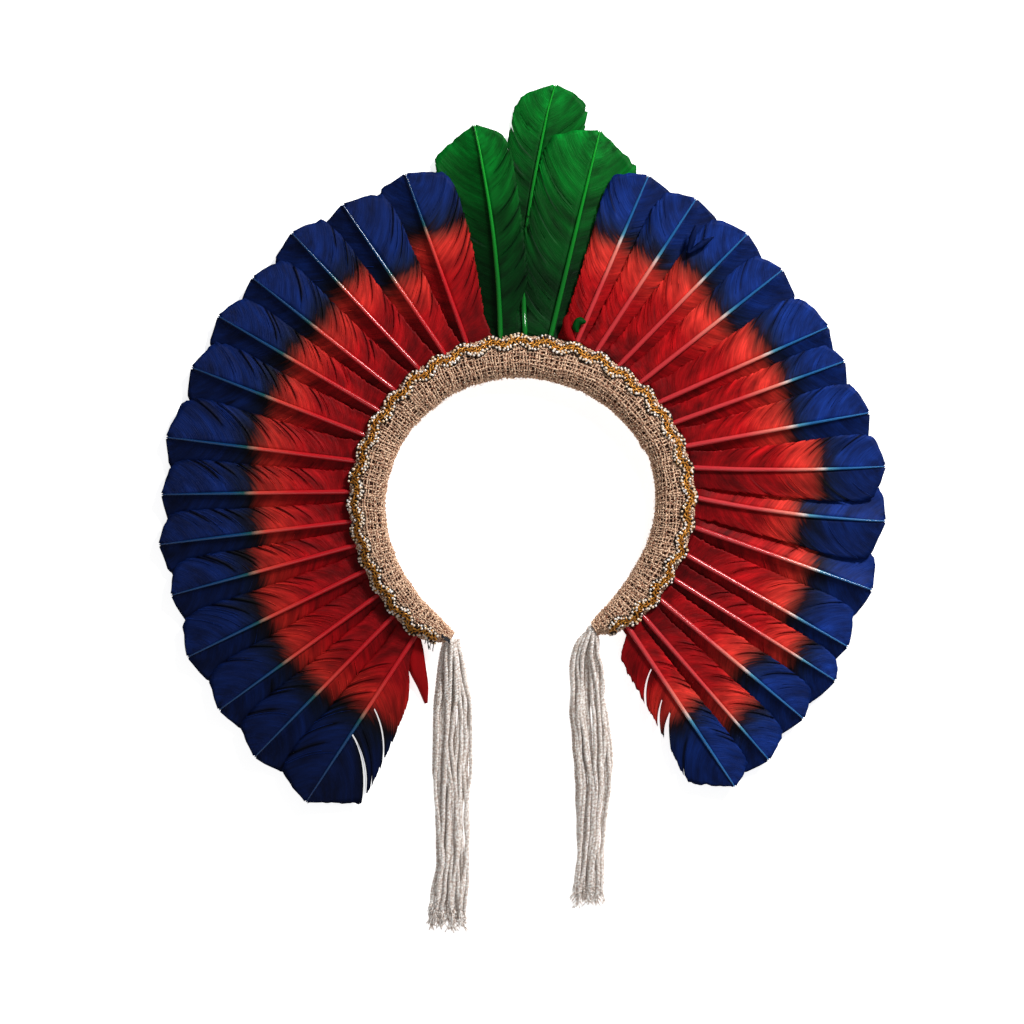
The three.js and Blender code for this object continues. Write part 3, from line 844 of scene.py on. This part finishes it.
class Band:
    """The padded band, measured on the CAD node: its edges and its height by angle."""

    def __init__(self):
        spots = [v.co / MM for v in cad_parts["band"].data.vertices]
        turns = [bearing(p.xy - RING) for p in spots]
        self.last, self.first = min(turns), max(turns)
        level = EDGE_LEVEL * max(p.z for p in spots)
        cast = probe("band")
        angles = [blend(self.last + 0.6, self.first - 0.6, i / 60) for i in range(61)]
        inner, outer, heights = [], [], []
        for angle in angles:
            outward = polar(angle, 1, 0) - polar(angle, 0, 0)
            inner.append((cast(polar(angle, 20, level), outward).xy - RING).length)
            outer.append((cast(polar(angle, 200, level), -outward).xy - RING).length)
            middle_radius = (inner[-1] + outer[-1]) / 2
            heights.append(cast(polar(angle, middle_radius, 60), (0, 0, -1)).z)
        self.inner = smooth_track(angles, inner)
        self.outer = smooth_track(angles, outer)
        self.height = smooth_track(angles, heights)

    def section(self, angle):
        """Middle radius, half width and height at an angle."""
        inner, outer = self.inner(angle), self.outer(angle)
        return (inner + outer) / 2, (outer - inner) / 2, self.height(angle)

    def surface(self, angle, turn, lift=0.0):
        """A point of the padded surface, at a turn in degrees round its section."""
        radius, half, height = self.section(angle)
        c, s = math.cos(math.radians(turn)), math.sin(math.radians(turn))
        power = 0.6 if s < 0 else blend(0.85, 1.5, ease(c, 0.0, 0.6))
        rise = math.copysign(abs(s) ** power, s)
        lift += 0.5 * ripple(LUMPS, angle * 0.2, turn * 0.02)
        lift += CROWN_FILL * max(-c, 0.0) * math.exp(-((angle - CROWN_ANGLE) / CROWN_SPREAD) ** 2)
        for seam, depth in PUCKERS:
            gap = angle - seam - 0.03 * (turn - 90)
            lift += depth * math.exp(-(gap / PUCKER_WIDTH) ** 2)
        return polar(angle, radius + half * c + lift * c,
                     max(height * (0.5 + 0.5 * rise) + lift * s, 0.3))


def make_padding(band):
    """The stuffed core that shows dark between the threads."""
    bm = bmesh.new()
    grid_piece(bm, *PADDING_GRID, lambda u, v: band.surface(
        blend(band.first - 0.4, band.last + 0.4, v), 360 * u, SINK_UNDER_WEAVE))
    bmesh.ops.remove_doubles(bm, verts=bm.verts, dist=0.01)
    bmesh.ops.holes_fill(bm, edges=bm.edges)
    bmesh.ops.recalc_face_normals(bm, faces=bm.faces)
    piece = from_bmesh("band_padding", bm, PADDING)
    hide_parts("band")


def crossing(band, cross, along, crosses, alongs):
    """Angle and turn where two burlap threads cross."""
    turn = blend(WEAVE_FROM, WEAVE_TO, along / (alongs - 1))
    angle = blend(band.first, band.last, cross / (crosses - 1))
    slant = 2.2 * ripple(SLANTS, angle * 0.06) + 1.6 * math.exp(-((angle - 22) / 6) ** 2)
    moved = angle + slant * (turn - 90) / 90 + 1.3 * ripple(cross + 200, turn * 0.018)
    moved = min(max(moved, band.last), band.first)
    turn += 8 * ripple(SAGS, angle * 0.09, along * 0.11) + 7 * ripple(along + 300, angle * 0.16)
    return moved, turn


def make_weave(band):
    """Two sets of jute threads that go over and under each other."""
    radius, half, height = band.section((band.first + band.last) / 2)
    crosses = int(math.radians(band.first - band.last) * radius / CROSS_PITCH)
    girth = math.pi * (half + height / 2) * (WEAVE_TO - WEAVE_FROM) / 360
    alongs = int(girth / ALONG_PITCH)
    spots = [[crossing(band, i, k, crosses, alongs) for k in range(alongs)]
             for i in range(crosses)]
    dice = random.Random(11)

    def thread(places, index, odd, share):
        thick = dice.uniform(0.34, 0.78)
        strand = []
        for step, (angle, turn) in enumerate(places):
            stand = (share(angle) - 0.5) * 0.9
            over = WEAVE_RISE if (step + odd) % 2 else -WEAVE_RISE
            slub = 1 + 0.35 * ripple(index, step * 0.3)
            strand.append((band.surface(angle, turn, over + stand), thick * slub))
        return strand

    across = [thread(spots[i], 400 + i, i, CROSS_SHARE) for i in range(crosses)]
    lengthways = [thread([spots[i][k] for i in range(crosses)], 700 + k, k + 1,
                         lambda angle: 1 - CROSS_SHARE(angle)) for k in range(alongs)]
    for name, strands in (("band_weave_across", across), ("band_weave_along", lengthways)):
        finished(name, strand_mesh(name, strands), JUTE)


def make_stray_fibres(band):
    """Fine hairs that stand off the burlap."""
    dice = random.Random(12)
    hairs = []
    for _ in range(STRAY_FIBRES):
        angle = dice.uniform(band.last + 1, band.first - 1)
        turn = dice.uniform(40, WEAVE_TO)
        swing, reach = dice.uniform(-3, 3), dice.uniform(-30, 30)
        hair = []
        for k in range(5):
            t = k / 4
            lift = 0.7 + 1.5 * math.sin(math.pi * t) * dice.uniform(0.5, 1)
            hair.append((band.surface(angle + swing * t, turn + reach * t * t, lift), 0.1))
        hairs.append(hair)
    mesh = strand_mesh("band_stray_fibres", hairs)
    finished("band_stray_fibres", mesh, JUTE)


# ---- beaded braid ----

BRAID_WAVES = 30
BRAID_SWING = 2.3
BRAID_START = 4.5  # degrees from the ends of the band
BRAID_INSET = 3.7  # from the band's outer edge to the braid's middle
BEAD_RADIUS = 1.02
BEAD_SPACING = 2.15
BEAD_ROW = 3.0  # from the braid's wavy middle to a row of beads
BRAID_LIFT = 2.1  # of the beads over the burlap
BRAID_HALF = 4.1  # half the width of the woven ground
BRAID_RADIUS = 112.0  # of the braid round the ring, to turn a shift into an angle
GROUND_LIFT = 1.3
GROUND_THICKNESS = 0.8
STEPS_PER_WAVE = 24
STITCH_SPACING = 2.3


class Braid:
    """The wavy middle line of the braid and places beside it."""

    def __init__(self, band):
        self.band = band
        self.first = band.first - BRAID_START
        self.last = band.last + BRAID_START
        self.steps = BRAID_WAVES * STEPS_PER_WAVE
        self.line = [self.middle_place(i / self.steps) for i in range(self.steps + 1)]

    def middle_place(self, share):
        """(distance along, offset from the band's middle, angle) on the wavy line."""
        angle = blend(self.first, self.last, share)
        radius, half, _ = self.band.section(angle)
        room = ease(half, 2.5, 9.0)
        swing = BRAID_SWING * room * math.cos(2 * math.pi * BRAID_WAVES * share)
        swing += 0.5 * ripple(SWINGS, share * 40)
        return Vector((radius * math.radians(self.first - angle),
                       half - BRAID_INSET * blend(0.75, 1.0, room) + swing, angle))

    def beside(self, share, side, lift):
        """A point at a distance to the side of the wavy line."""
        i = min(max(int(share * self.steps), 1), self.steps - 1)
        before, here, after = self.line[i - 1], self.middle_place(share), self.line[i + 1]
        heading = (after - before).xy.normalized()
        angle = here.z + math.degrees(heading.y * side / BRAID_RADIUS)
        return self.bed(angle, here.y + heading.x * side, lift)

    def bed(self, angle, offset, lift):
        """A point on the outer shoulder of the band, or just past its edge."""
        radius, half, height = self.band.section(angle)
        share = min(offset / half, 0.9)
        rise = height * (0.5 + 0.5 * (1 - max(share, 0) ** 2) ** 0.75)
        rise -= 0.3 * max(offset - 0.9 * half, 0)
        return polar(angle, radius + offset, rise + lift)


def make_braid_ground(braid):
    """The woven tape that the beads and the gold thread are sewn to."""
    bm = bmesh.new()
    grid_piece(bm, 4, braid.steps // 2, lambda u, v: braid.beside(
        v, blend(-BRAID_HALF, BRAID_HALF, u), GROUND_LIFT))
    face_up(bm, bm.faces)
    piece = from_bmesh("braid_ground", bm, BRAID_GROUND_AND_SHADE)
    thicken(piece, GROUND_THICKNESS)
    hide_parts("bead_trim")


def bead_places(braid, side):
    """Evenly spaced places along a line beside the braid's middle."""
    walked, spot = 0.0, braid.beside(0.0, side, BRAID_LIFT)
    places = [spot]
    for i in range(1, braid.steps + 1):
        step = braid.beside(i / braid.steps, side, BRAID_LIFT)
        walked += (step - spot).length
        spot = step
        if walked >= BEAD_SPACING:
            walked = 0.0
            places.append(spot)
    return places


def make_beads(braid):
    """Two rows of seed beads, and some more in the hollows of the waves."""
    dice = random.Random(13)
    places = bead_places(braid, BEAD_ROW) + bead_places(braid, -BEAD_ROW)
    for wave in range(2 * BRAID_WAVES):
        inside = 1 if wave % 2 else -1
        for shift in (-0.15, -0.07, 0.0, 0.08, 0.16):
            if dice.random() < 0.7:
                share = (wave / 2 + shift) / BRAID_WAVES
                side = -0.9 * inside * dice.uniform(1.5, 2.2)
                if 0 < share < 1:
                    places.append(braid.beside(share, side, BRAID_LIFT + 0.7))
    bead = bmesh.new()
    bmesh.ops.create_uvsphere(bead, u_segments=8, v_segments=5, radius=1.0)
    form = bpy.data.meshes.new("bead_form")
    bead.to_mesh(form)
    bead.free()
    bm = bmesh.new()
    for place in places:
        shake = Vector([dice.gauss(0, 0.26) for _ in range(3)])
        turn = Euler([dice.uniform(0, math.pi) for _ in range(3)])
        size = BEAD_RADIUS * dice.uniform(0.78, 1.08)
        spot = Matrix.LocRotScale(place + shake, turn, Vector((size, size, 0.85 * size)))
        form.transform(spot)
        bm.from_mesh(form)
        form.transform(spot.inverted())
    bpy.data.meshes.remove(form)
    from_bmesh("seed_beads", bm, BEAD)


def make_gold_thread(braid):
    """A double lurex thread along the middle of the braid, and stitches to its beads."""
    dice = random.Random(14)
    strands = []
    count = BRAID_WAVES * 18
    for phase in (0.0, math.pi):
        strand = []
        for i in range(count + 1):
            turn = 2 * math.pi * i / 7 + phase
            spot = braid.beside(i / count, math.sin(turn), 2.2 + 0.6 * math.cos(turn))
            strand.append((spot, 0.55))
        strands.append(strand)
    stitches = int(braid.line[-1].x / STITCH_SPACING)
    for k in range(1, stitches):
        for side in (-1, 1):
            start = (k + dice.uniform(-0.3, 0.3)) / stitches
            lean, reach = dice.uniform(-0.3, 0.6) / stitches, dice.uniform(2.4, 3.8)
            strands.append([(braid.beside(start + lean * t, side * blend(0.6, reach, t),
                                          1.6 + 1.6 * math.sin(math.pi * t)), 0.42)
                            for t in (0, 0.25, 0.5, 0.75, 1)])
    mesh = strand_mesh("gold_thread", strands)
    finished("gold_thread", mesh, GOLD)


# ---- tassels ----

CORDS = 23
CORD_PLY = 0.76  # radius of one of the two strands of a cord
CORD_TWIST = 3.6  # length of one full twist
CORD_STEP = 0.62
FRAY = 9.0  # the loose end of a cord
YARNS = 7  # in the loose end
CORD_REACH = 1.7  # from a cord's middle to its outside
SIDE_LEVEL = 3.4  # above the floor, where a tassel's edges are measured
CROWN_LEVEL = 6.0  # and where its top is
EDGE_ROOM = 0.1  # from the outline to the middle of the outermost cord
TOP_TAPER = 2.2  # the outline's most step inward from level to level
TUCK = 2.2  # how far a cord reaches into the band


class Tassel:
    """A tassel's outline, measured on its CAD node."""

    def __init__(self, name):
        low, high = [millimetres(corner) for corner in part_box(name)]
        cast = probe(name)
        self.bottom = low.y
        self.crown = lambda x: cast((x, high.y + 9, CROWN_LEVEL), (0, -1, 0))
        levels = [blend(low.y + 3.0, high.y - 1.5, i / 24) for i in range(25)]
        left, right, height = [], [], []
        for y in levels:
            edge = [cast((x, y, SIDE_LEVEL), (way, 0, 0))
                    for x, way in ((low.x - 9, 1), (high.x + 9, -1))]
            left.append(edge[0].x)
            right.append(max([edge[1].x] + [x - TOP_TAPER for x in right[-1:]]))
            height.append(cast(((edge[0].x + edge[1].x) / 2, y, 60), (0, 0, -1)).z)
        self.level = levels[-2]
        self.left = smooth_track(levels, left)
        self.right = smooth_track(levels, right)
        self.height = smooth_track(levels, height)

    def place(self, across, level, y):
        """A point: across from -1 to 1, level from 0 on the floor to 1 on top."""
        left, right = self.left(y), self.right(y)
        x = blend(left + EDGE_ROOM, right - EDGE_ROOM, (across + 1) / 2)
        arch = 1 - 0.55 * across * across
        room = max(self.height(y) - 2 * CORD_REACH, 0.8)
        return Vector((x, y, CORD_REACH + level * room * arch))


def make_tassel(name, seed):
    """A bundle of two-ply cords that hang from the band in three layers."""
    tassel = Tassel(name)
    dice = random.Random(seed)
    strands = []
    for index in range(CORDS):
        home = -1 + 2 * (index + 0.5) / CORDS
        layer = (0.1, 0.95, 0.5)[index % 3]
        end = tassel.bottom + dice.uniform(2.0, 9.0)
        phase = dice.uniform(0, 2 * math.pi)
        crown = tassel.crown(tassel.place(0.8 * home, 0, tassel.level).x)
        top = (crown.y if crown else tassel.level) + TUCK
        steps = int((top - end) / CORD_STEP)
        plies = [[], []]
        for i in range(steps + 1):
            y = top - i * CORD_STEP
            wander = 0.45 * ripple(seed + index, y * 0.016)
            wander += 0.1 * ripple(seed + index, y * 0.06)
            across = min(max(home * 0.97 + wander, -1.0), 1.0)
            level = min(max(layer + 0.5 * ripple(seed + index + 50, y * 0.02), 0.0), 1.1)
            middle_line = tassel.place(across, level, y)
            loose = ease(-y, -(end + FRAY), -end)
            turn = phase + 2 * math.pi * i * CORD_STEP / CORD_TWIST * (1 - 0.4 * loose)
            for side, ply in zip((-1, 1), plies):
                offset = CORD_PLY * side * (1.08 + 0.8 * loose)
                spot = middle_line + Vector((offset * math.cos(turn), 0, offset * math.sin(turn)))
                spot.z = max(spot.z, 0.7)
                ply.append((spot, CORD_PLY * (1.04 - 0.35 * loose)))
        strands += plies
        strands += frayed_end(plies[0][-6][0], dice)
    mesh = strand_mesh(name + "_cords", strands)
    piece = finished(name + "_cords", mesh, COTTON)
    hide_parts(name)


def frayed_end(start, dice):
    """Loose yarns at the cut end of a cord."""
    yarns = []
    for _ in range(YARNS):
        drift = dice.uniform(-0.55, 0.55)
        length = dice.uniform(4.5, 9.0)
        yarn = []
        for k in range(5):
            t = k / 4
            spot = start + Vector((drift * length * t * t + dice.uniform(-0.3, 0.3), -length * t,
                                   dice.uniform(-0.5, 0.5) - 0.8 * t))
            spot.z = max(spot.z, 0.4)
            yarn.append((spot, 0.34))
        yarns.append(yarn)
    return yarns


def make_knot(band):
    """Dark stitches that hold the left tassel to the tip of the band."""
    dice = random.Random(15)
    middle_knot = band.surface(band.first - 2.0, 70, 0.8)
    loops = []
    for _ in range(9):
        swing = dice.uniform(-0.5, 0.5)
        loop = []
        for k in range(9):
            t = 2 * k / 8 - 1
            shift = Vector((3.4 * t + dice.uniform(-0.4, 0.4),
                            -2.4 * t + 2.2 * swing + dice.uniform(-0.4, 0.4),
                            1 - t * t + dice.uniform(-0.3, 0.5)))
            loop.append((middle_knot + shift, 0.42))
        loops.append(loop)
    for k in range(5):
        start = polar(band.first - 5.5 - 0.8 * k, band.outer(band.first - 5), 7.5)
        fall = Vector((dice.uniform(-1.5, 1.0), -dice.uniform(4, 9), -1.5))
        loops.append([(start + fall * t + Vector((0.5 * math.sin(5 * t + k), 0, 0)), 0.3)
                      for t in (0, 0.25, 0.5, 0.75, 1)])
    mesh = strand_mesh("left_end_stitches", loops)
    finished("left_end_stitches", mesh, SEWING_THREAD)


def make_band_and_trim():
    """The band with what is sewn to it, in the order of their layers."""
    band = Band()
    make_padding(band)
    make_weave(band)
    make_stray_fibres(band)
    braid = Braid(band)
    make_braid_ground(braid)
    make_beads(braid)
    make_gold_thread(braid)
    make_knot(band)


make_band_and_trim()
make_tassel("tassel_left", 21)
make_tassel("tassel_right", 22)
